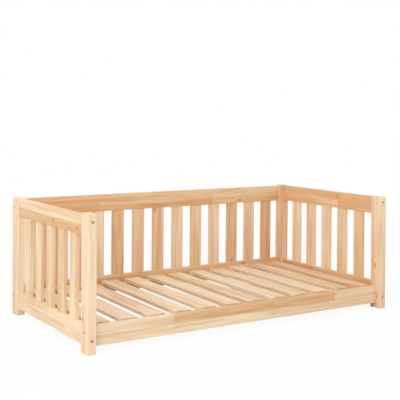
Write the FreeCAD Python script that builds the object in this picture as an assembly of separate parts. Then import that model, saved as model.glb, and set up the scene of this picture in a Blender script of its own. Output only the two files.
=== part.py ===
"""Toddler floor bed in solid pine, three closed sides of upright slats and a low front rail.

Millimetres.  X runs along the bed (positive to the right), Y from the open front (negative) to the
slatted back (positive), Z up.  The origin is on the floor, under the middle of the bed.
"""
import FreeCAD, Part
import math
import os

V = FreeCAD.Vector
X_AXIS, Y_AXIS, Z_AXIS = V(1, 0, 0), V(0, 1, 0), V(0, 0, 1)

# ---- overall -------------------------------------------------------------------------------------
BED_LENGTH = 1690.0            # over the posts, for a mattress 1600 long
BED_WIDTH = 880.0              # over the posts, for a mattress 800 wide
POST_HEIGHT = 577.0
FRONT_LEFT_RISE = 8.0          # the front left post stands this much higher than the other three

# ---- posts ---------------------------------------------------------------------------------------
POST_ALONG = 40.0              # section along the bed
POST_ACROSS = 70.0             # section across the bed
POST_TOP_ROUND = 8.0           # rounding of the four top edges
POST_ARRIS = 4.0               # easing of the upright edges

# ---- rails ---------------------------------------------------------------------------------------
RAIL_THICKNESS = 22.0
RAIL_HEIGHT = 88.0
LEFT_LOWER_HEIGHT = 84.0       # the lower rails of the ends are narrower and wider boards
RIGHT_LOWER_HEIGHT = 104.0
RAIL_ARRIS = 2.0
BACK_SETBACK = 9.0             # back rails behind the posts' back faces
FRONT_SETBACK = 24.0           # front rail behind the posts' front faces
END_TOP_DROP = 2.0             # end top rails below the three lower post tops
BACK_TOP_DROP = 6.0            # back top rail below the post tops
FRONT_RAIL_LIFT = 28.0         # undersides above the floor
END_LOWER_LIFT = 32.0
BACK_LOWER_LIFT = 54.0

# ---- upright slats -------------------------------------------------------------------------------
SLAT_WIDTH = 67.0
SLAT_THICKNESS = 17.0
SLAT_ARRIS = 2.0
END_SLAT_COUNT = 5
END_SIDE_GAP = 75.5            # outer end slats to the posts
BACK_SLAT_COUNT = 13
BACK_SLAT_GAP = 55.9           # between the slats counted from the right
BACK_RIGHT_GAP = 58.0          # last slat to the right post
LEFT_CLOSE_SLATS = 3           # slats at the left that share the space left over
LEFT_GAP_PARTS = (63.0, 51.0, 37.0, 34.0)   # how that space is divided, from the left post
FOURTH_SLAT_SHIFT = 6.0        # the next slat stands this far towards the right
TENON_LENGTH = 12.0
TENON_THICKNESS = 10.0
TENON_WIDTH = 51.0
MORTISE_SIDE_GAP = 0.15
MORTISE_END_GAP = 1.0

# ---- slatted base --------------------------------------------------------------------------------
BASE_SLAT_COUNT = 12
BASE_SLAT_WIDTH = 85.0
BASE_SLAT_THICKNESS = 17.0
BASE_SLAT_ARRIS = 2.0
BASE_SKEW = 20.0               # every base slat's back end lies this far to the right of its front end
SIXTH_SLAT_SHIFT = 5.0         # slats 6 and 7 from the left lie closer together: one is moved to
SEVENTH_SLAT_SHIFT = -4.0      # the right, the other to the left
BASE_PROUD = 3.0               # base slats above the front rail
BASE_FRONT_GAP = 8.0           # slat ends to the front rail
BASE_BACK_GAP = 3.0            # slat ends to the back rail
BASE_END_GAP = 2.0             # outer slats to the posts
CLEAT_DEPTH = 45.0             # across the bed
CLEAT_HEIGHT = 30.0
CLEAT_END_GAP = 2.0
CLEAT_ARRIS = 1.5

# ---- bolted joints -------------------------------------------------------------------------------
BOLT_DIAMETER = 6.0
BOLT_HOLE_GAP = 0.5            # on the radius, in posts and rails
BOLT_HEAD_DIAMETER = 12.0
BOLT_HEAD_THICKNESS = 4.0
BOLT_SOCKET_WIDTH = 4.0        # across the flats of the key socket
BOLT_SOCKET_DEPTH = 2.5
BOLT_PAST_INSERT = 4.0         # bolt end beyond the insert nut
INSERT_DIAMETER = 10.0         # threaded insert nut in the rail's end grain
INSERT_LENGTH = 20.0
COUNTERBORE_GAP = 0.5          # on the radius, round the bolt head
COUNTERBORE_DEPTH = 13.0
PLUG_GAP = 0.05                # on the radius, round the wooden plug that hides the bolt
PLUG_LENGTH = 7.0
PLUG_RECESS = 0.6              # plug below the post's face
PLUG_ARRIS = 0.6
END_TOP_BOLT_DROP = 28.0       # bolts of the end top rails below the three lower post tops
END_LOWER_BOLT_HEIGHT = 57.0   # above the floor
FRONT_BOLT_HEIGHT = 87.0
BACK_LOWER_BOLT_HEIGHT = 94.0
BACK_TOP_BOLT_DROP = 50.0      # bolts of the back top rail below the post tops
DOWEL_DIAMETER = 8.0
DOWEL_LENGTH = 40.0
DOWEL_IN_POST = 15.0
DOWEL_HOLE_SPARE = 1.0         # hole deeper than the dowel at each end
DOWEL_TO_BOLT = 30.0           # spacing of dowel and bolt in one joint
FRONT_DOWEL_TO_BOLT = 40.0     # the front dowel passes below the end rail's bolt
BACK_LOWER_DOWEL_TO_BOLT = 28.0   # this one sits above its bolt, away from the end rail's bolt

# ---- screws --------------------------------------------------------------------------------------
SCREW_DIAMETER = 4.0
SCREW_HEAD_DIAMETER = 8.0
SCREW_HEAD_DEPTH = 2.5
SCREW_TIP_LENGTH = 5.0
SCREW_TIP_DIAMETER = 0.5
SCREW_SOCKET_DIAMETER = 2.4
SCREW_SOCKET_DEPTH = 1.5
BASE_SCREW_LENGTH = 35.0
CLEAT_SCREW_LENGTH = 60.0

# ---- places worked out from the sizes ------------------------------------------------------------
POST_X = BED_LENGTH / 2 - POST_ALONG / 2
POST_Y = BED_WIDTH / 2 - POST_ACROSS / 2
INNER_X = BED_LENGTH / 2 - POST_ALONG
INNER_Y = BED_WIDTH / 2 - POST_ACROSS
BACK_FACE = BED_WIDTH / 2 - BACK_SETBACK - RAIL_THICKNESS
FRONT_FACE = -BED_WIDTH / 2 + FRONT_SETBACK + RAIL_THICKNESS
BACK_RAIL_Y = BACK_FACE + RAIL_THICKNESS / 2
FRONT_RAIL_Y = FRONT_FACE - RAIL_THICKNESS / 2
END_TOP_RAIL_TOP = POST_HEIGHT - END_TOP_DROP
BACK_TOP_RAIL_TOP = POST_HEIGHT - BACK_TOP_DROP
FRONT_RAIL_TOP = FRONT_RAIL_LIFT + RAIL_HEIGHT
BASE_TOP = FRONT_RAIL_TOP + BASE_PROUD
CLEAT_TOP = BASE_TOP - BASE_SLAT_THICKNESS
CLEAT_MIDDLE = CLEAT_TOP - CLEAT_HEIGHT / 2
CLEAT_LENGTH = 2 * (INNER_X - CLEAT_END_GAP)
FRONT_CLEAT_Y = FRONT_FACE + CLEAT_DEPTH / 2
BACK_CLEAT_Y = BACK_FACE - CLEAT_DEPTH / 2
BASE_FRONT = FRONT_FACE + BASE_FRONT_GAP
BASE_BACK = BACK_FACE - BASE_BACK_GAP
BOLT_RADIUS = BOLT_DIAMETER / 2
BOLT_HOLE_RADIUS = BOLT_RADIUS + BOLT_HOLE_GAP
COUNTERBORE_RADIUS = BOLT_HEAD_DIAMETER / 2 + COUNTERBORE_GAP
PLUG_RADIUS = COUNTERBORE_RADIUS - PLUG_GAP
INSERT_RADIUS = INSERT_DIAMETER / 2
DOWEL_RADIUS = DOWEL_DIAMETER / 2
SCREW_RADIUS = SCREW_DIAMETER / 2
BASE_LENGTH = BASE_BACK - BASE_FRONT
BASE_MIDDLE_Y = (BASE_FRONT + BASE_BACK) / 2
BASE_SLAT_SHIFTS = {6: SIXTH_SLAT_SHIFT, 7: SEVENTH_SLAT_SHIFT}
POST_RISES = {"front_left": FRONT_LEFT_RISE}
HEXAGON_CORNERS = 6
SAME_PLACE = 1e-6              # lengths below this count as nothing

os.makedirs("parts", exist_ok=True)


def save(name, solids):
    """Write one sub-part, a solid or a group of separate solids."""
    shape = solids if isinstance(solids, Part.Shape) else Part.makeCompound(solids)
    shape.exportStep("parts/" + name + ".step")
    print(name, len(shape.Solids), round(shape.Volume / 1000.0, 1), "cm3", shape.isValid())


def block(centre, size):
    """A box from its centre and its three sizes."""
    corner = V(*[c - s / 2 for c, s in zip(centre, size)])
    return Part.makeBox(size[0], size[1], size[2], corner)


def edges_along(shape, axis):
    """The straight edges of a box that run along one axis."""
    def turn_from_axis(edge):
        return edge.tangentAt(edge.FirstParameter).cross(axis).Length

    return [edge for edge in shape.Edges if turn_from_axis(edge) < SAME_PLACE]


def board(centre, size, axis, arris):
    """A planed board whose long edges, along the given axis, are eased."""
    plain = block(centre, size)
    return plain.makeFillet(arris, edges_along(plain, axis))


def rod(start, direction, length, radius):
    """A round bar, or the cutter of a round hole."""
    return Part.makeCylinder(radius, length, start, direction)


def point(along_x, along_y, height):
    return V(along_x, along_y, height)


# ---- bolted joint of a rail and a post -----------------------------------------------------------
def bolt(head_seat, inward, length):
    """A connector bolt: flat head on its seat, hexagon key socket, plain shank.

    head_seat is the point where the head bears on the counterbore, inward the way the shank runs.
    """
    head = rod(head_seat - inward * BOLT_HEAD_THICKNESS, inward, BOLT_HEAD_THICKNESS, BOLT_HEAD_DIAMETER / 2)
    shank = rod(head_seat, inward, length, BOLT_RADIUS)
    side = Z_AXIS
    across = inward.cross(side)
    mouth = head_seat - inward * BOLT_HEAD_THICKNESS
    reach = BOLT_SOCKET_WIDTH / math.sqrt(3.0)
    corners = []
    for corner in range(HEXAGON_CORNERS):
        angle = 2 * math.pi * corner / HEXAGON_CORNERS
        corners.append(mouth + side * (reach * math.cos(angle)) + across * (reach * math.sin(angle)))
    socket = Part.Face(Part.makePolygon(corners + corners[:1])).extrude(inward * BOLT_SOCKET_DEPTH)
    return head.fuse(shank).removeSplitter().cut(socket)


def insert_nut(mouth, inward):
    """A threaded sleeve that sits flush in the rail's end and takes the bolt."""
    sleeve = rod(mouth, inward, INSERT_LENGTH, INSERT_RADIUS)
    return sleeve.cut(rod(mouth, inward, INSERT_LENGTH, BOLT_RADIUS))


def plug(outer_face, inward):
    """A wooden plug in the counterbore, a little below the post's face, its outer rim eased."""
    start = outer_face + inward * PLUG_RECESS
    body = rod(start, inward, PLUG_LENGTH, PLUG_RADIUS)
    rim = [edge for edge in body.Edges if abs((edge.BoundBox.Center - start).Length) < SAME_PLACE]
    return body.makeChamfer(PLUG_ARRIS, rim)


class Joint:
    """One rail end on one post: a bolt through the post into an insert nut, a plug over the bolt's head,
    and a dowel beside it.

    face is the point of the bolt's axis where rail and post meet; into_rail points from the post into
    the rail; post_depth is the post's thickness there; dowel_offset is the dowel's height over the bolt.
    """

    def __init__(self, face, into_rail, post_depth, dowel_offset):
        self.face = face
        self.into_rail = into_rail
        self.post_depth = post_depth
        self.outside = face - into_rail * post_depth
        self.dowel_at = face + Z_AXIS * dowel_offset

    def post_cutters(self):
        hole = rod(self.outside, self.into_rail, self.post_depth, BOLT_HOLE_RADIUS)
        recess = rod(self.outside, self.into_rail, COUNTERBORE_DEPTH, COUNTERBORE_RADIUS)
        dowel_depth = DOWEL_IN_POST + DOWEL_HOLE_SPARE
        return [hole, recess, rod(self.dowel_at, self.into_rail * -1, dowel_depth, DOWEL_RADIUS)]

    def rail_cutters(self):
        past = INSERT_LENGTH + BOLT_PAST_INSERT + DOWEL_HOLE_SPARE
        hole = rod(self.face, self.into_rail, past, BOLT_HOLE_RADIUS)
        pocket = rod(self.face, self.into_rail, INSERT_LENGTH, INSERT_RADIUS)
        dowel_depth = DOWEL_LENGTH - DOWEL_IN_POST + DOWEL_HOLE_SPARE
        return [hole, pocket, rod(self.dowel_at, self.into_rail, dowel_depth, DOWEL_RADIUS)]

    def bolt(self):
        seat = self.outside + self.into_rail * COUNTERBORE_DEPTH
        length = self.post_depth - COUNTERBORE_DEPTH + INSERT_LENGTH + BOLT_PAST_INSERT
        return bolt(seat, self.into_rail, length)

    def nut(self):
        return insert_nut(self.face, self.into_rail)

    def plug(self):
        return plug(self.outside, self.into_rail)

    def dowel(self):
        return rod(self.dowel_at - self.into_rail * DOWEL_IN_POST, self.into_rail, DOWEL_LENGTH, DOWEL_RADIUS)


def end_joint(side, front_or_back, height, dowel_offset):
    """Joint of an end rail, which runs across the bed.  side is -1 for left, front_or_back -1 for front."""
    face = point(side * POST_X, front_or_back * INNER_Y, height)
    return Joint(face, Y_AXIS * -front_or_back, POST_ACROSS, dowel_offset)


def long_joint(side, rail_y, height, dowel_offset):
    """Joint of a rail that runs along the bed."""
    face = point(side * INNER_X, rail_y, height)
    return Joint(face, X_AXIS * -side, POST_ALONG, dowel_offset)


JOINTS = {}
for side_name, side in (("left", -1), ("right", 1)):
    for depth_name, depth in (("front", -1), ("back", 1)):
        post_name = depth_name + "_" + side_name
        top = end_joint(side, depth, POST_HEIGHT - END_TOP_BOLT_DROP, -DOWEL_TO_BOLT)
        low = end_joint(side, depth, END_LOWER_BOLT_HEIGHT, DOWEL_TO_BOLT)
        JOINTS[(post_name, side_name + "_top_rail")] = top
        JOINTS[(post_name, side_name + "_bottom_rail")] = low
    front = long_joint(side, FRONT_RAIL_Y, FRONT_BOLT_HEIGHT, -FRONT_DOWEL_TO_BOLT)
    back_low = long_joint(side, BACK_RAIL_Y, BACK_LOWER_BOLT_HEIGHT, BACK_LOWER_DOWEL_TO_BOLT)
    back_top = long_joint(side, BACK_RAIL_Y, POST_HEIGHT - BACK_TOP_BOLT_DROP, -DOWEL_TO_BOLT)
    JOINTS[("front_" + side_name, "front_rail")] = front
    JOINTS[("back_" + side_name, "back_bottom_rail")] = back_low
    JOINTS[("back_" + side_name, "back_top_rail")] = back_top


# ---- posts ---------------------------------------------------------------------------------------
def rounded_post(centre_x, centre_y, height):
    """A post with its top edges well rounded and its upright edges eased."""
    plain = block((centre_x, centre_y, height / 2), (POST_ALONG, POST_ACROSS, height))
    eased = plain.makeFillet(POST_ARRIS, edges_along(plain, Z_AXIS))
    rim = [edge for edge in eased.Edges if edge.BoundBox.ZMin > height - SAME_PLACE]
    return eased.makeFillet(POST_TOP_ROUND, rim)


def post(post_name):
    depth_name, side_name = post_name.split("_")
    centre_x = -POST_X if side_name == "left" else POST_X
    centre_y = -POST_Y if depth_name == "front" else POST_Y
    cutters = []
    for (owner, rail), joint in JOINTS.items():
        if owner == post_name:
            cutters += joint.post_cutters()
    height = POST_HEIGHT + POST_RISES.get(post_name, 0.0)
    return rounded_post(centre_x, centre_y, height).cut(Part.makeCompound(cutters))


# ---- rails and upright slats ---------------------------------------------------------------------
def tenon(centre, along, bottom_z, top_z, grow):
    """The stub of a slat end, or with grow above zero the mortise that takes it."""
    wide = TENON_WIDTH + 2 * grow
    thick = TENON_THICKNESS + 2 * grow
    middle = (bottom_z + top_z) / 2
    size = (wide, thick, top_z - bottom_z) if along == X_AXIS else (thick, wide, top_z - bottom_z)
    return block((centre[0], centre[1], middle), size)


def slat(centre, along, low_z, high_z):
    """An upright slat between two rails, with a stub tenon at each end."""
    size = (SLAT_WIDTH, SLAT_THICKNESS, high_z - low_z)
    if along == Y_AXIS:
        size = (SLAT_THICKNESS, SLAT_WIDTH, high_z - low_z)
    body = board((centre[0], centre[1], (low_z + high_z) / 2), size, Z_AXIS, SLAT_ARRIS)
    stub = tenon(centre, along, low_z - TENON_LENGTH, high_z + TENON_LENGTH, 0.0)
    return body.fuse(stub).removeSplitter()


def rail(name, centre, size, along, mortises=(), mortise_edge=0.0, into_rail_z=1):
    """A rail with its bolt and dowel holes and a mortise for each slat, if it has any.

    mortises lists slat centres, mortise_edge is the height of the edge they open in, and into_rail_z is
    1 where they run up into the rail and -1 where they run down.
    """
    body = board(centre, size, along, RAIL_ARRIS)
    cutters = []
    for (post_name, owner), joint in JOINTS.items():
        if owner == name:
            cutters += joint.rail_cutters()
    reach = into_rail_z * (TENON_LENGTH + MORTISE_END_GAP)
    for slat_centre in mortises:
        low, high = sorted((mortise_edge, mortise_edge + reach))
        cutters.append(tenon(slat_centre, along, low, high, MORTISE_SIDE_GAP))
    return body.cut(Part.makeCompound(cutters))


def end_panel(side_name, side, lower_height):
    """The rails and slats of one end: they stand on the middle of the posts' section."""
    lower_top = END_LOWER_LIFT + lower_height
    upper_bottom = END_TOP_RAIL_TOP - RAIL_HEIGHT
    first = -INNER_Y + END_SIDE_GAP + SLAT_WIDTH / 2
    pitch = -2 * first / (END_SLAT_COUNT - 1)
    centres = [(side * POST_X, first + pitch * number) for number in range(END_SLAT_COUNT)]
    length = 2 * INNER_Y
    low = rail(side_name + "_bottom_rail", (side * POST_X, 0, END_LOWER_LIFT + lower_height / 2),
               (RAIL_THICKNESS, length, lower_height), Y_AXIS, centres, lower_top, -1)
    high = rail(side_name + "_top_rail", (side * POST_X, 0, END_TOP_RAIL_TOP - RAIL_HEIGHT / 2),
                (RAIL_THICKNESS, length, RAIL_HEIGHT), Y_AXIS, centres, upper_bottom, 1)
    save(side_name + "_bottom_rail", low)
    save(side_name + "_top_rail", high)
    for number, centre in enumerate(centres, 1):
        save(side_name + "_slat_" + str(number), slat(centre, Y_AXIS, lower_top, upper_bottom))


def back_slat_positions():
    """Middles of the back slats from left to right.

    Most are counted off at one pitch from the right post.  The last few at the left share what is left
    over, divided as LEFT_GAP_PARTS says.
    """
    pitch = SLAT_WIDTH + BACK_SLAT_GAP
    regular = []
    for number in range(BACK_SLAT_COUNT - LEFT_CLOSE_SLATS):
        regular.append(INNER_X - BACK_RIGHT_GAP - SLAT_WIDTH / 2 - number * pitch)
    regular[-1] += FOURTH_SLAT_SHIFT
    space = regular[-1] - SLAT_WIDTH / 2 + INNER_X - LEFT_CLOSE_SLATS * SLAT_WIDTH
    edge = -INNER_X
    close = []
    for part in LEFT_GAP_PARTS[:LEFT_CLOSE_SLATS]:
        edge += space * part / sum(LEFT_GAP_PARTS)
        close.append(edge + SLAT_WIDTH / 2)
        edge += SLAT_WIDTH
    return close + regular[::-1]


def back_panel():
    lower_top = BACK_LOWER_LIFT + RAIL_HEIGHT
    upper_bottom = BACK_TOP_RAIL_TOP - RAIL_HEIGHT
    centres = [(x, BACK_RAIL_Y) for x in back_slat_positions()]
    size = (2 * INNER_X, RAIL_THICKNESS, RAIL_HEIGHT)
    low = rail("back_bottom_rail", (0, BACK_RAIL_Y, BACK_LOWER_LIFT + RAIL_HEIGHT / 2), size, X_AXIS,
               centres, lower_top, -1)
    high = rail("back_top_rail", (0, BACK_RAIL_Y, BACK_TOP_RAIL_TOP - RAIL_HEIGHT / 2), size, X_AXIS,
                centres, upper_bottom, 1)
    low = low.cut(Part.makeCompound(cleat_screw_holes(BACK_CLEAT_Y, 1)))
    save("back_bottom_rail", low)
    save("back_top_rail", high)
    for number, centre in enumerate(centres, 1):
        save("back_slat_%02d" % number, slat(centre, X_AXIS, lower_top, upper_bottom))


# ---- slatted base --------------------------------------------------------------------------------
def base_slat_positions():
    """Middles of the base slats: evenly spread between the posts, apart from the two that were moved."""
    first = -INNER_X + BASE_END_GAP + (BASE_SLAT_WIDTH + BASE_SKEW) / 2
    pitch = -2 * first / (BASE_SLAT_COUNT - 1)
    return [first + pitch * n + BASE_SLAT_SHIFTS.get(n + 1, 0.0) for n in range(BASE_SLAT_COUNT)]


def skewed(middle_x, y):
    """Where the middle line of a base slat is at a given depth."""
    return middle_x + BASE_SKEW * (y - BASE_MIDDLE_Y) / BASE_LENGTH


def cleat_screw_positions(cleat_y):
    """Every second gap between base slats, clear of the slats' own screws."""
    middles = [skewed(middle, cleat_y) for middle in base_slat_positions()]
    return [(middles[i] + middles[i + 1]) / 2 for i in range(0, len(middles) - 1, 2)]


def screw(head_top, direction, length):
    """A countersunk wood screw with a round driver recess and a pointed tip."""
    head = Part.makeCone(SCREW_HEAD_DIAMETER / 2, SCREW_RADIUS, SCREW_HEAD_DEPTH, head_top, direction)
    shank = rod(head_top, direction, length - SCREW_TIP_LENGTH, SCREW_RADIUS)
    tip_start = head_top + direction * (length - SCREW_TIP_LENGTH)
    tip = Part.makeCone(SCREW_RADIUS, SCREW_TIP_DIAMETER / 2, SCREW_TIP_LENGTH, tip_start, direction)
    recess = rod(head_top, direction, SCREW_SOCKET_DEPTH, SCREW_SOCKET_DIAMETER / 2)
    return head.fuse([shank, tip]).removeSplitter().cut(recess)


def screw_hole(head_top, direction, length):
    """What a screw displaces: its countersink and a hole of its own diameter."""
    head = Part.makeCone(SCREW_HEAD_DIAMETER / 2, SCREW_RADIUS, SCREW_HEAD_DEPTH, head_top, direction)
    return head.fuse(rod(head_top, direction, length, SCREW_RADIUS)).removeSplitter()


def cleat_screw_starts(cleat_y, outward):
    """Head centres on the cleat's inner face; outward is -1 towards the front, 1 towards the back."""
    face_y = cleat_y - outward * CLEAT_DEPTH / 2
    return [point(x, face_y, CLEAT_MIDDLE) for x in cleat_screw_positions(cleat_y)]


def cleat_screw_holes(cleat_y, outward):
    starts = cleat_screw_starts(cleat_y, outward)
    return [screw_hole(start, Y_AXIS * outward, CLEAT_SCREW_LENGTH) for start in starts]


def base_screw_starts(cleat_y):
    return [point(skewed(x, cleat_y), cleat_y, BASE_TOP) for x in base_slat_positions()]


def cleat(cleat_y, outward):
    size = (CLEAT_LENGTH, CLEAT_DEPTH, CLEAT_HEIGHT)
    body = board((0, cleat_y, CLEAT_MIDDLE), size, X_AXIS, CLEAT_ARRIS)
    holes = cleat_screw_holes(cleat_y, outward)
    holes += [screw_hole(start, Z_AXIS * -1, BASE_SCREW_LENGTH) for start in base_screw_starts(cleat_y)]
    return body.cut(Part.makeCompound(holes))


def base_slat(middle_x):
    """A base slat, turned a little in plan, with its two screw holes."""
    centre = point(middle_x, BASE_MIDDLE_Y, BASE_TOP - BASE_SLAT_THICKNESS / 2)
    body = board(centre, (BASE_SLAT_WIDTH, BASE_LENGTH, BASE_SLAT_THICKNESS), Y_AXIS, BASE_SLAT_ARRIS)
    body.rotate(centre, Z_AXIS, -math.degrees(math.atan(BASE_SKEW / BASE_LENGTH)))
    for cleat_y in (FRONT_CLEAT_Y, BACK_CLEAT_Y):
        start = point(skewed(middle_x, cleat_y), cleat_y, BASE_TOP)
        body = body.cut(screw_hole(start, Z_AXIS * -1, BASE_SCREW_LENGTH))
    return body


# ---- writing the bed -----------------------------------------------------------------------------
for depth_name in ("front", "back"):
    for side_name in ("left", "right"):
        save("post_" + depth_name + "_" + side_name, post(depth_name + "_" + side_name))

end_panel("left", -1, LEFT_LOWER_HEIGHT)
end_panel("right", 1, RIGHT_LOWER_HEIGHT)
back_panel()

front_size = (2 * INNER_X, RAIL_THICKNESS, RAIL_HEIGHT)
front_centre = (0, FRONT_RAIL_Y, FRONT_RAIL_LIFT + RAIL_HEIGHT / 2)
front_board = rail("front_rail", front_centre, front_size, X_AXIS)
save("front_rail", front_board.cut(Part.makeCompound(cleat_screw_holes(FRONT_CLEAT_Y, -1))))

save("cleat_front", cleat(FRONT_CLEAT_Y, -1))
save("cleat_back", cleat(BACK_CLEAT_Y, 1))
for number, middle_x in enumerate(base_slat_positions(), 1):
    save("base_slat_%02d" % number, base_slat(middle_x))

save("connector_bolts", [joint.bolt() for joint in JOINTS.values()])
save("insert_nuts", [joint.nut() for joint in JOINTS.values()])
save("bolt_plugs", [joint.plug() for joint in JOINTS.values()])
save("rail_dowels", [joint.dowel() for joint in JOINTS.values()])

cleat_screws = []
base_screws = []
for cleat_y, outward in ((FRONT_CLEAT_Y, -1), (BACK_CLEAT_Y, 1)):
    for start in cleat_screw_starts(cleat_y, outward):
        cleat_screws.append(screw(start, Y_AXIS * outward, CLEAT_SCREW_LENGTH))
    for start in base_screw_starts(cleat_y):
        base_screws.append(screw(start, Z_AXIS * -1, BASE_SCREW_LENGTH))
save("cleat_screws", cleat_screws)
save("base_slat_screws", base_screws)
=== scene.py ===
# %% [markdown]
# # A toddler floor bed in solid pine
# The real bed is four posts, rails between them, upright slats in the rails, a slatted base on two
# cleats, and the bolts, insert nuts, wooden plugs, dowels and screws that hold it: 54 named pieces.
# The frame that is loaded here already holds each of them as a mesh at its real size and place.
# Planed boards have no shape of their own beyond that, so this lesson is about wood: how one pine
# material is built from growth rings, fibres, knots and glued staves, and how each board gets its own.

import math
import random

import bpy
import numpy as np
from mathutils import Matrix, Vector


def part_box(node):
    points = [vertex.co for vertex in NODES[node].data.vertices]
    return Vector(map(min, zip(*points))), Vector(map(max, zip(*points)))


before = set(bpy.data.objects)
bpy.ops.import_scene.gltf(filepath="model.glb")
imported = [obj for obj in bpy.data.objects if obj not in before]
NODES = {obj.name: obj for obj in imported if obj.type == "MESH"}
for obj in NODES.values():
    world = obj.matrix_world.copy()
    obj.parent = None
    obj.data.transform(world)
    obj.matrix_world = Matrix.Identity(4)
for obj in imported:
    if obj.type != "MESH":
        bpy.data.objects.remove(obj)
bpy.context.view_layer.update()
print("pieces in the frame:", len(NODES))

# %% [markdown]
# ## Two small helpers
# Colours are written as the sRGB hex values that a paint chart gives, and the renderer works with
# linear light, so one function turns one into the other. Every material is a tree of nodes, and one
# function adds a node with its settings and its sockets, each socket a value or another node's output.
# A Mix node has sockets of the same name for every kind of data, so they are given by number: 0 is the
# share, 2 and 3 are two numbers, 6 and 7 are two colours, and the mixed colour comes out of output 2.

# %% Colour and node helpers
def linear(hex_code):
    """sRGB hex to linear RGBA: v / 12.92 below 0.04045, else ((v + 0.055) / 1.055) to the power 2.4."""
    values = [int(hex_code[i:i + 2], 16) / 255 for i in (1, 3, 5)]
    return [v / 12.92 if v <= 0.04045 else ((v + 0.055) / 1.055) ** 2.4 for v in values] + [1.0]


def add(tree, kind, sockets=None, **settings):
    """One new shader node of the tree. Settings are its own fields; a socket is given by name or
    number, and takes a value or another node's output."""
    node = tree.nodes.new("ShaderNode" + kind)
    for name, value in settings.items():
        setattr(node, name, value)
    for key, value in (sockets or {}).items():
        if isinstance(value, bpy.types.NodeSocket):
            tree.links.new(value, node.inputs[key])
        else:
            node.inputs[key].default_value = value
    return node


# %% [markdown]
# ## How a pine board gets its figure
# A log is a stack of cones, nearly cylinders, round its pith: pale soft earlywood that darkens slowly
# into a thin hard line of orange latewood, then starts again. A board is a slice of that stack. So the
# figure is not painted on faces: the material works out how far each point is from a pith line that
# runs beside the board, and turns that distance into rings. Long faces then show flames and stripes,
# and end faces show arcs, with no seam at the edges.
# The ring distance is disturbed by a slow wander of the trunk along its length and by knots, which
# push the rings aside. Resin and light draw broad streaks and patches over it all, and those are what
# the eye sees first from a few steps away.
# Scots pine grows 1.5 to 4 mm a year. In the picture a pixel is about 5 mm, so the rings here are
# drawn at 8 to 12 mm, wide enough to show.

# %% Colours of Scots pine, planed and left bare
PLAIN_WHITE = linear("#FFFFFF")    # of the studio; on the wood it changes nothing
SAP_EARLY = linear("#F6E0C2")      # earlywood of pale sapwood
SAP_LATE = linear("#E6C293")       # its latewood
HEART_EARLY = linear("#E0AF7A")    # earlywood of orange heartwood
HEART_LATE = linear("#C2864E")     # its latewood
ROSE = linear("#F0C6A2")           # pinkish patches of fresh cut wood
KNOT_WOOD = linear("#D39A5F")
KNOT_RIM = linear("#AD7245")
END_SHADE = linear("#FDF6EC")      # open pores at cut ends drink the light

# noise fields of the wood: blotches per metre along, across and through the board, and their detail
FIELDS = {
    "wander": ((1.5, 6.0, 6.0), 2.0),
    "unevenness": ((2.5, 30.0, 30.0), 1.0),
    "fibre": ((9.0, 260.0, 260.0), 3.0),
    "streak": ((1.5, 26.0, 26.0), 2.0),
    "patch": ((3.2, 10.0, 10.0), 2.0),
}
FIELD_ROUGHNESS = 0.55             # how much the finer blotches in a field count
RING_WIDTHS = (0.008, 0.012)       # metres from one latewood line to the next
RING_RISE = (0.25, 0.85)           # the part of a year over which the wood darkens,
RING_FALL = (0.86, 1.0)            # and the part over which it turns pale again
WANDER = 0.030                     # metres that the trunk strays from straight
KNOT_PUSH = 0.012                  # metres that a knot pushes the rings aside
KNOT_REACH = 4.0                   # in knot radii, how far that goes
STREAK_DRIFT = (-0.25, 0.36)       # how far streaks and patches carry the tone down and up
PATCH_DRIFT = (-0.1, 0.1)
LATE_SHARE = 0.55                  # how strongly latewood, fibres, the rose cast, a knot's rim
FIBRE_SHARE = 0.12                 # and its heart colour the face
ROSE_SHARE = 0.3
RIM_SHARE = 0.45
HEART_SHARE = 0.55
SOFT_ROUGHNESS = 0.52              # of earlywood; latewood is smoother by the next number
LATE_POLISH = 0.1


# %% [markdown]
# ## One group of nodes for all the wood
# Every board uses the same group of nodes, and only what goes in differs: where in the log the board
# lies, how wide its rings are, how orange it is and where its knots are. Blender's noise stays mostly
# between 0.3 and 0.7, so each field is read over a stretch of about that, with soft ends.

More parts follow.
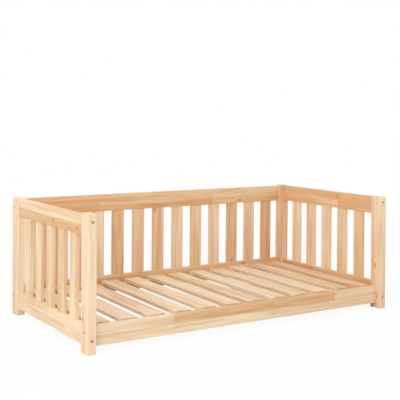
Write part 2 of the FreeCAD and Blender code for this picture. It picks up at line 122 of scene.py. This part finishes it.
# %% The growth rings, knots and fibres as one shared group
def pine_group():
    """A node group. In go a place in the log, the pith's place, the ring width, the tone, how far the
    nearest knot is in knot radii, and 1 on end grain. Out come colour, roughness and height."""
    tree = bpy.data.node_groups.new("planed_pine", "ShaderNodeTree")
    for name, kind in (("Place", "Vector"), ("Pith", "Vector"), ("Ring Width", "Float"),
                       ("Tone", "Float"), ("Knot", "Float"), ("End", "Float")):
        tree.interface.new_socket(name, in_out="INPUT", socket_type="NodeSocket" + kind)
    for name, kind in (("Color", "Color"), ("Roughness", "Float"), ("Height", "Float")):
        tree.interface.new_socket(name, in_out="OUTPUT", socket_type="NodeSocket" + kind)
    entry = tree.nodes.new("NodeGroupInput").outputs

    field = {}
    for name, (per_metre, detail) in FIELDS.items():
        place = add(tree, "VectorMath", {0: entry["Place"], 1: per_metre}, operation="MULTIPLY")
        noise = add(tree, "TexNoise", {"Vector": place.outputs[0], "Scale": 1.0, "Detail": detail,
                                       "Roughness": FIELD_ROUGHNESS})
        field[name] = noise.outputs["Fac"]

    # ring distance: from the pith line, plus the trunk's wander, plus the push of a knot
    from_pith = add(tree, "VectorMath", {0: entry["Place"], 1: entry["Pith"]}, operation="SUBTRACT")
    flat = add(tree, "VectorMath", {0: from_pith.outputs[0], 1: (0.0, 1.0, 1.0)}, operation="MULTIPLY")
    radius = add(tree, "VectorMath", {0: flat.outputs[0]}, operation="LENGTH").outputs["Value"]
    wander = add(tree, "Math", {0: field["wander"], 1: WANDER, 2: radius}, operation="MULTIPLY_ADD")
    push = add(tree, "MapRange", {"Value": entry["Knot"], "From Min": 0.0, "From Max": KNOT_REACH,
                                  "To Min": KNOT_PUSH, "To Max": 0.0}, interpolation_type="SMOOTHSTEP")
    distance = add(tree, "Math", {0: wander.outputs[0], 1: push.outputs[0]}, operation="ADD")

    # one year: earlywood, then slowly darker, and a sharp end; some rings are stronger than others
    years = add(tree, "Math", {0: distance.outputs[0], 1: entry["Ring Width"]}, operation="DIVIDE")
    phase = add(tree, "Math", {0: years.outputs[0]}, operation="FRACT").outputs[0]
    rise = add(tree, "MapRange", {"Value": phase, "From Min": RING_RISE[0], "From Max": RING_RISE[1]},
               interpolation_type="SMOOTHSTEP")
    fall = add(tree, "MapRange", {"Value": phase, "From Min": RING_FALL[0], "From Max": RING_FALL[1],
                                  "To Min": 1.0, "To Max": 0.0}, interpolation_type="SMOOTHSTEP")
    ring = add(tree, "Math", {0: rise.outputs[0], 1: fall.outputs[0]}, operation="MINIMUM")
    strength = add(tree, "MapRange", {"Value": field["unevenness"], "From Min": 0.3, "From Max": 0.7,
                                      "To Min": 0.15, "To Max": 1.0}, interpolation_type="SMOOTHSTEP")
    late = add(tree, "Math", {0: ring.outputs[0], 1: strength.outputs[0]},
               operation="MULTIPLY").outputs[0]

    # the board's tone, carried up and down by streaks and patches
    streak = add(tree, "MapRange", {"Value": field["streak"], "From Min": 0.32, "From Max": 0.7,
                                    "To Min": STREAK_DRIFT[0], "To Max": STREAK_DRIFT[1]},
                 interpolation_type="SMOOTHSTEP")
    patch = add(tree, "MapRange", {"Value": field["patch"], "From Min": 0.35, "From Max": 0.65,
                                   "To Min": PATCH_DRIFT[0], "To Max": PATCH_DRIFT[1]},
                interpolation_type="SMOOTHSTEP")
    drift = add(tree, "Math", {0: streak.outputs[0], 1: patch.outputs[0]}, operation="ADD")
    tone = add(tree, "Math", {0: entry["Tone"], 1: drift.outputs[0]}, operation="ADD", use_clamp=True)

    # colours: early and late wood at that tone, a rose cast in patches, fibres, then the knot, whose
    # rim and heart fade over knot radii, and the end grain
    early = add(tree, "Mix", {0: tone.outputs[0], 6: SAP_EARLY, 7: HEART_EARLY}, data_type="RGBA")
    dark = add(tree, "Mix", {0: tone.outputs[0], 6: SAP_LATE, 7: HEART_LATE}, data_type="RGBA")
    line = add(tree, "Math", {0: late, 1: LATE_SHARE}, operation="MULTIPLY")
    wood = add(tree, "Mix", {0: line.outputs[0], 6: early.outputs[2], 7: dark.outputs[2]},
               data_type="RGBA")
    blush = add(tree, "MapRange", {"Value": field["patch"], "From Min": 0.48, "From Max": 0.68,
                                   "To Min": 0.0, "To Max": ROSE_SHARE},
                interpolation_type="SMOOTHSTEP")
    wood = add(tree, "Mix", {0: blush.outputs[0], 6: wood.outputs[2], 7: ROSE}, data_type="RGBA")
    thread = add(tree, "MapRange", {"Value": field["fibre"], "From Min": 0.35, "From Max": 0.75,
                                    "To Min": 0.0, "To Max": FIBRE_SHARE},
                 interpolation_type="SMOOTHSTEP")
    wood = add(tree, "Mix", {0: thread.outputs[0], 6: wood.outputs[2], 7: dark.outputs[2]},
               data_type="RGBA")
    rim = add(tree, "MapRange", {"Value": entry["Knot"], "From Min": 0.8, "From Max": 1.7,
                                 "To Min": RIM_SHARE, "To Max": 0.0}, interpolation_type="SMOOTHSTEP")
    wood = add(tree, "Mix", {0: rim.outputs[0], 6: wood.outputs[2], 7: KNOT_RIM}, data_type="RGBA")
    heart = add(tree, "MapRange", {"Value": entry["Knot"], "From Min": 0.3, "From Max": 1.1,
                                   "To Min": HEART_SHARE, "To Max": 0.0},
                interpolation_type="SMOOTHSTEP")
    wood = add(tree, "Mix", {0: heart.outputs[0], 6: wood.outputs[2], 7: KNOT_WOOD}, data_type="RGBA")
    shade = add(tree, "Mix", {0: entry["End"], 6: PLAIN_WHITE, 7: END_SHADE}, data_type="RGBA")
    wood = add(tree, "Mix", {0: 1.0, 6: wood.outputs[2], 7: shade.outputs[2]}, data_type="RGBA",
               blend_type="MULTIPLY")

    # hard latewood is a little smoother and stands a hair higher than the soft wood between
    rough = add(tree, "Math", {0: late, 1: -LATE_POLISH, 2: SOFT_ROUGHNESS}, operation="MULTIPLY_ADD")
    height = add(tree, "Math", {0: late, 1: field["fibre"]}, operation="ADD")
    leave = tree.nodes.new("NodeGroupOutput").inputs
    for name, output in (("Color", wood.outputs[2]), ("Roughness", rough.outputs[0]),
                         ("Height", height.outputs[0])):
        tree.links.new(output, leave[name])
    return tree


PINE = pine_group()
print("nodes in the pine group:", len(PINE.nodes))

# %% [markdown]
# ## Boards glued from staves
# Most rails are not one plank. Two lamellae lie side by side, and each is a row of staves with finger
# joints between them, because short clear wood is what a young pine gives. Where two staves meet, the
# figure and the tone change at once, along a small zigzag. Posts and slats are one row, and nearly
# all of them a single stave.
# Each row is a list of (where the stave ends, its tone). Tones run from 0, white sapwood, to 1,
# orange heartwood. A colour ramp with constant steps holds a row: its red channel is the tone, and
# green and blue shift the pith, so that every stave comes from another part of the log.

# %% Tones, rows and knots
WHITE, PALE, STRAW, HONEY, ORANGE = 0.0, 0.2, 0.42, 0.66, 0.95
TONE_SPREAD = 0.08                 # how far a board strays from the tone drawn for its family
FINGER_PITCH = 0.006               # one finger of a finger joint, across the board
FINGER_LENGTH = 0.010

# rows from the bottom of the board to its top; ends in metres from the board's middle
ROWS = {
    "front_rail": [
        [(-0.41, PALE), (0.12, PALE), (0.9, STRAW)],
        [(-0.41, PALE), (0.14, ORANGE), (0.525, ORANGE), (0.9, STRAW)],
    ],
    "left_top_rail": [[(-0.02, ORANGE), (0.5, HONEY)], [(0.5, PALE)]],
    "left_bottom_rail": [[(-0.18, PALE), (0.1, STRAW), (0.5, WHITE)], [(0.0, WHITE), (0.5, PALE)]],
    "back_top_rail": [
        [(-0.38, ORANGE), (0.33, HONEY), (0.9, HONEY)],
        [(-0.39, HONEY), (0.33, HONEY), (0.9, HONEY)],
    ],
    "right_top_rail": [[(-0.1, HONEY), (0.5, HONEY)], [(0.5, HONEY)]],
    "right_bottom_rail": [[(0.0, HONEY), (0.5, ORANGE)], [(0.1, HONEY), (0.5, ORANGE)]],
    "post_front_left": [[(-0.085, WHITE), (0.18, PALE), (0.5, WHITE)]],
    "post_front_right": [[(0.5, PALE)]],
    "post_back_left": [[(0.5, PALE)]],
    "base_slat_11": [[(0.5, STRAW)]],
    "base_slat_12": [[(0.5, STRAW)]],
}
# the boards that are not listed are one stave long, and draw one of their family's tones
FAMILY_TONES = {
    "left_slat": (PALE, STRAW, PALE),
    "right_slat": (PALE, STRAW, STRAW),
    "back_slat": (PALE, STRAW, HONEY),
    "base_slat": (WHITE, WHITE, PALE),
    "back_bottom_rail": (HONEY,),
    "cleat": (STRAW,),
    "post": (HONEY,),
}

KNOT_CELLS = (1.5, 2.6)            # cells per metre along and across: each holds one knot
KNOT_LONG = 0.012                  # half length of a knot on the face, and its half width
KNOT_WIDE = 0.007
# knots that the picture shows: metres from the board's middle along and across
KNOTS = {
    "right_bottom_rail": [(-0.13, 0.015)],
    "right_top_rail": [(-0.10, 0.02)],
    "left_top_rail": [(-0.05, -0.016), (-0.31, -0.02)],
    "post_front_right": [(-0.225, -0.01)],
}


def rows_of(name, length, dice):
    """The listed rows of a board, or one row with a tone drawn for its family."""
    if name in ROWS:
        return ROWS[name]
    family = [tones for start, tones in FAMILY_TONES.items() if name.startswith(start)][0]
    return [[(length, dice.choice(family) + dice.uniform(-TONE_SPREAD, TONE_SPREAD))]]


# %% [markdown]
# ## One material for each board
# The object coordinates are turned and shifted so that x runs along the board, y across it and z
# through it. The board's box in the frame says which way it runs, so no board is placed by hand.
# Every board is cut from its own depth of one endless log, and every stave from its own place along
# it, with the pith 2 to 7 cm behind or before the board's middle.

# %% Pine for a board
LOG_DEPTH = 5.0                    # metres from which the boards' depths are drawn
STAVE_SHIFT = 7.0                  # the most metres that a stave is moved along the log
PITH_SIDEWAYS = 0.06               # width of the strip along the board in which its pith may lie
PITH_NEAREST = 0.024               # metres from the board's middle plane to the nearest pith,
PITH_DEEPER = 0.05                 # and how much further off the furthest one is
END_FACING = 0.8                   # cosine above which a surface counts as a cut end
BUMP_STRENGTH = 0.25
BUMP_DISTANCE = 0.0004             # metres


def board_axes(name):
    """Centre, sizes and the unit vectors along, across and through a board, longest side first."""
    low, high = (np.array(corner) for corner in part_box(name))
    size = high - low
    order = np.argsort(-size, kind="stable")
    unit = np.eye(3)[order]
    unit[2] = np.cross(unit[0], unit[1])
    return (low + high) / 2, size[order], unit


def stave_ramp(tree, along, length, row, dice):
    """Constant steps along the board: red is the stave's tone, green and blue move its pith."""
    share = add(tree, "Math", {0: along, 1: 1 / length, 2: 0.5}, operation="MULTIPLY_ADD")
    node = add(tree, "ValToRGB", {"Fac": share.outputs[0]})
    node.color_ramp.interpolation = "CONSTANT"
    stops = node.color_ramp.elements
    start = 0.0
    for number, (end, tone) in enumerate(row):
        stop = stops[number] if number < len(stops) else stops.new(start)
        stop.position = start
        stop.color = (tone, dice.random(), dice.random(), 1.0)
        start = min(end / length + 0.5, 1.0)
    while len(stops) > len(row):
        stops.remove(stops[-1])
    return node.outputs["Color"]


def knot_distance(tree, place, split, shift, listed):
    """Distance to the nearest knot in knot radii: scattered ones, one in each cell, and the listed."""
    cells = add(tree, "VectorMath", {0: place, 1: (*KNOT_CELLS, 0.0)}, operation="MULTIPLY")
    moved = add(tree, "VectorMath", {0: cells.outputs[0], 1: shift}, operation="ADD")
    nearest = add(tree, "TexVoronoi", {"Vector": moved.outputs[0], "Scale": 1.0}, feature="F1",
                  voronoi_dimensions="2D")
    # measured in cells a knot is nearly round, so one number turns the distance into knot radii
    away = add(tree, "Math", {0: nearest.outputs["Distance"], 1: 1 / (KNOT_CELLS[1] * KNOT_WIDE)},
               operation="MULTIPLY").outputs[0]
    for along, across in listed:
        offset = add(tree, "CombineXYZ", {0: split["X"], 1: split["Y"]})
        offset = add(tree, "VectorMath", {0: offset.outputs[0], 1: (along, across, 0.0)},
                     operation="SUBTRACT")
        offset = add(tree, "VectorMath", {0: offset.outputs[0], 1: (1 / KNOT_LONG, 1 / KNOT_WIDE, 0.0)},
                     operation="MULTIPLY")
        radii = add(tree, "VectorMath", {0: offset.outputs[0]}, operation="LENGTH").outputs["Value"]
        away = add(tree, "Math", {0: away, 1: radii}, operation="MINIMUM").outputs[0]
    return away


def pine_board(name):
    """Bare planed pine for one board of the frame."""
    dice = random.Random(name)
    centre, size, unit = board_axes(name)
    material = bpy.data.materials.new("planed_pine_" + name)
    material.use_nodes = True
    tree = material.node_tree
    shader = tree.nodes["Principled BSDF"]

    coordinates = add(tree, "TexCoord")
    turn = Matrix(unit.T.tolist()).to_euler()
    place = add(tree, "Mapping", {"Vector": coordinates.outputs["Object"], "Location": centre.tolist(),
                                  "Rotation": turn}, vector_type="TEXTURE").outputs[0]
    split = add(tree, "SeparateXYZ", {0: place}).outputs

    # which stave: the zigzag of the finger joint is added to the place along the board
    zigzag = add(tree, "Math", {0: split["Y"], 1: FINGER_PITCH / 2}, operation="PINGPONG")
    along = add(tree, "Math", {0: zigzag.outputs[0], 1: 2 * FINGER_LENGTH / FINGER_PITCH, 2: split["X"]},
                operation="MULTIPLY_ADD").outputs[0]
    rows = rows_of(name, size[0], dice)
    stave = stave_ramp(tree, along, size[0], rows[0], dice)
    if len(rows) > 1:
        upper = stave_ramp(tree, along, size[0], rows[1], dice)
        is_upper = add(tree, "Math", {0: split["Y"], 1: 0.0}, operation="GREATER_THAN")
        stave = add(tree, "Mix", {0: is_upper.outputs[0], 6: stave, 7: upper},
                    data_type="RGBA").outputs[2]
    parts = add(tree, "SeparateColor", {0: stave}).outputs

    # every board is cut from its own depth of the log, and every stave from its own place along it
    depth = dice.uniform(0.0, LOG_DEPTH)
    pith_side = dice.choice((-1, 1))
    pith_y = add(tree, "Math", {0: parts[1], 1: PITH_SIDEWAYS, 2: -PITH_SIDEWAYS / 2},
                 operation="MULTIPLY_ADD")
    pith_z = add(tree, "Math", {0: parts[2], 1: PITH_DEEPER * pith_side,
                                2: depth + PITH_NEAREST * pith_side}, operation="MULTIPLY_ADD")
    pith = add(tree, "CombineXYZ", {1: pith_y.outputs[0], 2: pith_z.outputs[0]})
    far_along = add(tree, "Math", {0: parts[2], 1: STAVE_SHIFT, 2: split["X"]}, operation="MULTIPLY_ADD")
    far_deep = add(tree, "Math", {0: split["Z"], 1: depth}, operation="ADD")
    log_place = add(tree, "CombineXYZ", {0: far_along.outputs[0], 1: split["Y"], 2: far_deep.outputs[0]})
    knot = knot_distance(tree, place, split, (depth, 3 * depth, 0.0), KNOTS.get(name, ()))

    # end grain is where the surface looks along the board
    facing = add(tree, "VectorMath", {0: coordinates.outputs["Normal"], 1: unit[0].tolist()},
                 operation="DOT_PRODUCT").outputs["Value"]
    facing = add(tree, "Math", {0: facing}, operation="ABSOLUTE")
    end = add(tree, "Math", {0: facing.outputs[0], 1: END_FACING}, operation="GREATER_THAN")
    wood = add(tree, "Group", node_tree=PINE)
    for socket, value in (("Place", log_place.outputs[0]), ("Pith", pith.outputs[0]), ("Tone", parts[0]),
                          ("Knot", knot), ("End", end.outputs[0])):
        tree.links.new(value, wood.inputs[socket])
    wood.inputs["Ring Width"].default_value = dice.uniform(*RING_WIDTHS)
    bump = add(tree, "Bump", {"Height": wood.outputs["Height"], "Strength": BUMP_STRENGTH,
                              "Distance": BUMP_DISTANCE})
    tree.links.new(wood.outputs["Color"], shader.inputs["Base Color"])
    tree.links.new(wood.outputs["Roughness"], shader.inputs["Roughness"])
    tree.links.new(bump.outputs[0], shader.inputs["Normal"])
    return material


def finish(name, material):
    """Give every slot of a frame node this material."""
    slots = NODES[name].data.materials
    slots.clear()
    slots.append(material)


STEEL = ("connector_bolts", "insert_nuts", "cleat_screws", "base_slat_screws")
BEECH = ("rail_dowels", "bolt_plugs")
boards = sorted(name for name in NODES if name not in STEEL + BEECH)
for name in boards:
    finish(name, pine_board(name))
print("boards in pine:", len(boards))

# %% [markdown]
# ## Bolts, nuts, screws, dowels and plugs
# The connector bolts, insert nuts and screws are steel with a thin plating of zinc: grey, softly
# bright, a little cloudy. The dowels and the plugs that hide the bolts are beech, denser and browner
# than pine, with short flecks. The plugs show as small tan dots on the posts.

# %% Zinc and beech
ZINC_DARK = linear("#A9ABAD")
ZINC_LIGHT = linear("#C6C8C9")
ZINC_ROUGHNESS = (0.28, 0.46)
CLOUDS = 300.0                     # cloudy spots of the plating per metre, 3 mm each
BEECH_DARK = linear("#A97B4E")
BEECH_LIGHT = linear("#C3965F")
BEECH_ROUGHNESS = (0.5, 0.65)
FLECKS = (900.0, 900.0, 250.0)     # flecks of beech per metre: 1 mm by 4 mm


def zinc_plated_steel():
    """Electroplated zinc on turned steel: a soft grey metal with cloudy roughness."""
    material = bpy.data.materials.new("zinc_plated_steel")
    material.use_nodes = True
    tree = material.node_tree
    shader = tree.nodes["Principled BSDF"]
    shader.inputs["Metallic"].default_value = 1.0
    place = add(tree, "TexCoord").outputs["Object"]
    cloud = add(tree, "TexNoise", {"Vector": place, "Scale": CLOUDS, "Detail": 3.0}).outputs["Fac"]
    colour = add(tree, "Mix", {0: cloud, 6: ZINC_DARK, 7: ZINC_LIGHT}, data_type="RGBA")
    rough = add(tree, "MapRange", {"Value": cloud, "From Min": 0.3, "From Max": 0.7,
                                   "To Min": ZINC_ROUGHNESS[0], "To Max": ZINC_ROUGHNESS[1]})
    tree.links.new(colour.outputs[2], shader.inputs["Base Color"])
    tree.links.new(rough.outputs[0], shader.inputs["Roughness"])
    return material


def steamed_beech():
    """Steamed beech, turned: brownish tan with fine short flecks."""
    material = bpy.data.materials.new("steamed_beech")
    material.use_nodes = True
    tree = material.node_tree
    shader = tree.nodes["Principled BSDF"]
    place = add(tree, "TexCoord").outputs["Object"]
    place = add(tree, "VectorMath", {0: place, 1: FLECKS}, operation="MULTIPLY").outputs[0]
    fleck = add(tree, "TexNoise", {"Vector": place, "Scale": 1.0, "Detail": 2.0}).outputs["Fac"]
    colour = add(tree, "Mix", {0: fleck, 6: BEECH_DARK, 7: BEECH_LIGHT}, data_type="RGBA")
    rough = add(tree, "MapRange", {"Value": fleck, "From Min": 0.3, "From Max": 0.7,
                                   "To Min": BEECH_ROUGHNESS[0], "To Max": BEECH_ROUGHNESS[1]})
    tree.links.new(colour.outputs[2], shader.inputs["Base Color"])
    tree.links.new(rough.outputs[0], shader.inputs["Roughness"])
    return material


zinc = zinc_plated_steel()
for name in STEEL:
    finish(name, zinc)
beech = steamed_beech()
for name in BEECH:
    finish(name, beech)

# %% [markdown]
# ## The studio
# The bed stands on a white floor in a white room with no corner. Three softboxes light it: the key
# from the left, a weak fill from the front right and a weak one above. The floor shows itself nearly
# white to the camera and still takes a soft shadow: what is seen directly is plain white with a little
# of the lit floor in it, and every other ray meets a real diffuse floor, so the boards get light from
# below.
# Between the base slats the picture shows white floor in some places and shade in others. So under
# the bed, towards its right and along its front, the share of plain white is much smaller and the
# shade shows. Where that is was set from the picture.

# %% Floor, world and lamps
FLOOR_PAINT = linear("#F2F2F0")
FLOOR_HALF = 30.0                  # metres
CAMERA_WHITE = 0.93                # share of plain white in the floor as it is seen directly
WHITE_FROM, WHITE_TO = 1.2, 3.5    # metres from the middle over which that share grows to all
SHADE_WHITE = 0.12                 # that share where the shade under the bed shows
SHADE_MIDDLE = (0.0, 0.07, 0.0)    # the shade lies in a soft-edged rectangle, given by its middle,
SHADE_HALF = (0.82, 0.37)          # its half sides
SHADE_EDGE = 0.1                   # and the width of its soft edge
SHADE_RIGHT = (0.06, 0.24)         # in it the shade sets in from left to right over this stretch,
SHADE_FRONT = (0.04, -0.02)        # or from back to front over this one
ROOM_LIGHT = 0.63                  # brightness of the white room as a light
LAMP_SIDE = 2.4                    # metres
LAMPS = (                          # name, place, the point it faces, watts, colour
    ("key_softbox", (-3.8, -2.2, 2.4), (-0.2, 0.0, 0.3), 80.0, "#FFFDF8"),
    ("fill_softbox", (2.6, -3.6, 2.2), (0.0, 0.0, 0.3), 20.0, "#FFFFFF"),
    ("top_softbox", (-0.5, 0.2, 3.2), (-0.4, 0.0, 0.1), 20.0, "#FFFFFF"),
)


def seen_directly(tree):
    """1 for camera, glossy and transmission rays, 0 for the rays that light things."""
    path = add(tree, "LightPath").outputs
    direct = add(tree, "Math", {0: path["Is Camera Ray"], 1: path["Is Glossy Ray"]},
                 operation="MAXIMUM")
    return add(tree, "Math", {0: direct.outputs[0], 1: path["Is Transmission Ray"]},
               operation="MAXIMUM").outputs[0]


def floor_material():
    """Matt white paint, mixed with plain white where it is seen directly."""
    material = bpy.data.materials.new("white_studio_floor")
    material.use_nodes = True
    tree = material.node_tree
    tree.nodes.remove(tree.nodes["Principled BSDF"])
    paint = add(tree, "BsdfDiffuse", {"Color": FLOOR_PAINT})
    white = add(tree, "Emission", {"Color": PLAIN_WHITE, "Strength": 1.0})
    place = add(tree, "TexCoord").outputs["Object"]
    distance = add(tree, "VectorMath", {0: place}, operation="LENGTH").outputs["Value"]
    share = add(tree, "MapRange", {"Value": distance, "From Min": WHITE_FROM, "From Max": WHITE_TO,
                                   "To Min": CAMERA_WHITE, "To Max": 1.0},
                interpolation_type="SMOOTHSTEP")

    # the shade under the bed: inside the rectangle, and right of its middle or along its front
    spot = add(tree, "SeparateXYZ", {0: place}).outputs
    away = add(tree, "VectorMath", {0: place, 1: SHADE_MIDDLE}, operation="SUBTRACT")
    away = add(tree, "VectorMath", {0: away.outputs[0]}, operation="ABSOLUTE")
    away = add(tree, "SeparateXYZ", {0: away.outputs[0]}).outputs
    near = [add(tree, "MapRange", {"Value": away[axis], "From Min": SHADE_HALF[axis],
                                   "From Max": SHADE_HALF[axis] - SHADE_EDGE},
                interpolation_type="SMOOTHSTEP") for axis in (0, 1)]
    inside = add(tree, "Math", {0: near[0].outputs[0], 1: near[1].outputs[0]}, operation="MULTIPLY")
    sides = [add(tree, "MapRange", {"Value": spot[axis], "From Min": start, "From Max": end},
                 interpolation_type="SMOOTHSTEP")
             for axis, (start, end) in ((0, SHADE_RIGHT), (1, SHADE_FRONT))]
    deep = add(tree, "Math", {0: sides[0].outputs[0], 1: sides[1].outputs[0]}, operation="MAXIMUM")
    deep = add(tree, "Math", {0: deep.outputs[0], 1: inside.outputs[0]}, operation="MULTIPLY")
    share = add(tree, "Mix", {0: deep.outputs[0], 2: share.outputs[0], 3: SHADE_WHITE},
                data_type="FLOAT")
    share = add(tree, "Math", {0: share.outputs[0], 1: seen_directly(tree)}, operation="MULTIPLY")
    surface = add(tree, "MixShader", {0: share.outputs[0], 1: paint.outputs[0], 2: white.outputs[0]})
    tree.links.new(surface.outputs[0], tree.nodes["Material Output"].inputs["Surface"])
    return material


def studio_floor():
    """A square sheet at height 0: corners at plus and minus FLOOR_HALF."""
    corner = np.array([(-1, -1, 0), (1, -1, 0), (1, 1, 0), (-1, 1, 0)], float) * FLOOR_HALF
    mesh = bpy.data.meshes.new("studio_floor")
    mesh.from_pydata(corner.tolist(), [], [(0, 1, 2, 3)])
    mesh.materials.append(floor_material())
    floor = bpy.data.objects.new("studio_floor", mesh)
    bpy.context.scene.collection.objects.link(floor)


def white_room():
    """A world that is plain white where it is seen directly, and dimmer as a light."""
    world = bpy.data.worlds.new("white_room")
    world.use_nodes = True
    tree = world.node_tree
    strength = add(tree, "MapRange", {"Value": seen_directly(tree), "To Min": ROOM_LIGHT, "To Max": 1.0})
    background = tree.nodes["Background"].inputs
    background["Color"].default_value = PLAIN_WHITE
    tree.links.new(strength.outputs[0], background["Strength"])
    bpy.context.scene.world = world


def soft_box(name, place, aim, watts, tint):
    """A square softbox that faces its aim."""
    lamp = bpy.data.lights.new(name, "AREA")
    lamp.size = LAMP_SIDE
    lamp.energy = watts
    lamp.color = linear(tint)[:3]
    box = bpy.data.objects.new(name, lamp)
    box.location = place
    box.rotation_euler = (Vector(aim) - Vector(place)).to_track_quat("-Z", "Y").to_euler()
    bpy.context.scene.collection.objects.link(box)


studio_floor()
white_room()
for settings in LAMPS:
    soft_box(*settings)

# %% [markdown]
# ## The camera
# The photographer stood low in front of the left corner with a long lens held level, and shifted the
# frame down, so uprights stay upright. The place and the turn were found by matching the bed's own
# corners to the picture, and the focal length is given in pixels of a 400 pixel frame.

# %% Camera
IMAGE_SIZE = 400.0
FOCAL_PIXELS = 850.99
LEVEL_LINE = 121.69                # pixel row straight ahead of the lens
CAMERA_PLACE = Vector((-2.3474, -3.6246, 1.0060))
YAW, PITCH, ROLL = 0.57024, -0.0108, 0.00806    # radians
SENSOR_WIDTH = 36.0                # mm

ahead = Vector((math.sin(YAW) * math.cos(PITCH), math.cos(YAW) * math.cos(PITCH), math.sin(PITCH)))
level_right = Vector((math.cos(YAW), -math.sin(YAW), 0.0))
level_up = level_right.cross(ahead)
right = level_right * math.cos(ROLL) + level_up * math.sin(ROLL)
up = level_up * math.cos(ROLL) - level_right * math.sin(ROLL)

lens = bpy.data.cameras.new("studio_camera")
lens.sensor_width = SENSOR_WIDTH
lens.lens = SENSOR_WIDTH * FOCAL_PIXELS / IMAGE_SIZE
lens.shift_y = (LEVEL_LINE - IMAGE_SIZE / 2) / IMAGE_SIZE
camera = bpy.data.objects.new("studio_camera", lens)
turn = Matrix((right, up, -ahead)).transposed().to_4x4()
camera.matrix_world = Matrix.Translation(CAMERA_PLACE) @ turn
bpy.context.scene.collection.objects.link(camera)
bpy.context.scene.camera = camera
print("lens", round(lens.lens, 1), "mm, shift", round(lens.shift_y, 4))

# %% [markdown]
# ## Colours as they are
# The Standard view shows a colour as it is written.

# %% View and the end
bpy.context.scene.view_settings.view_transform = "Standard"
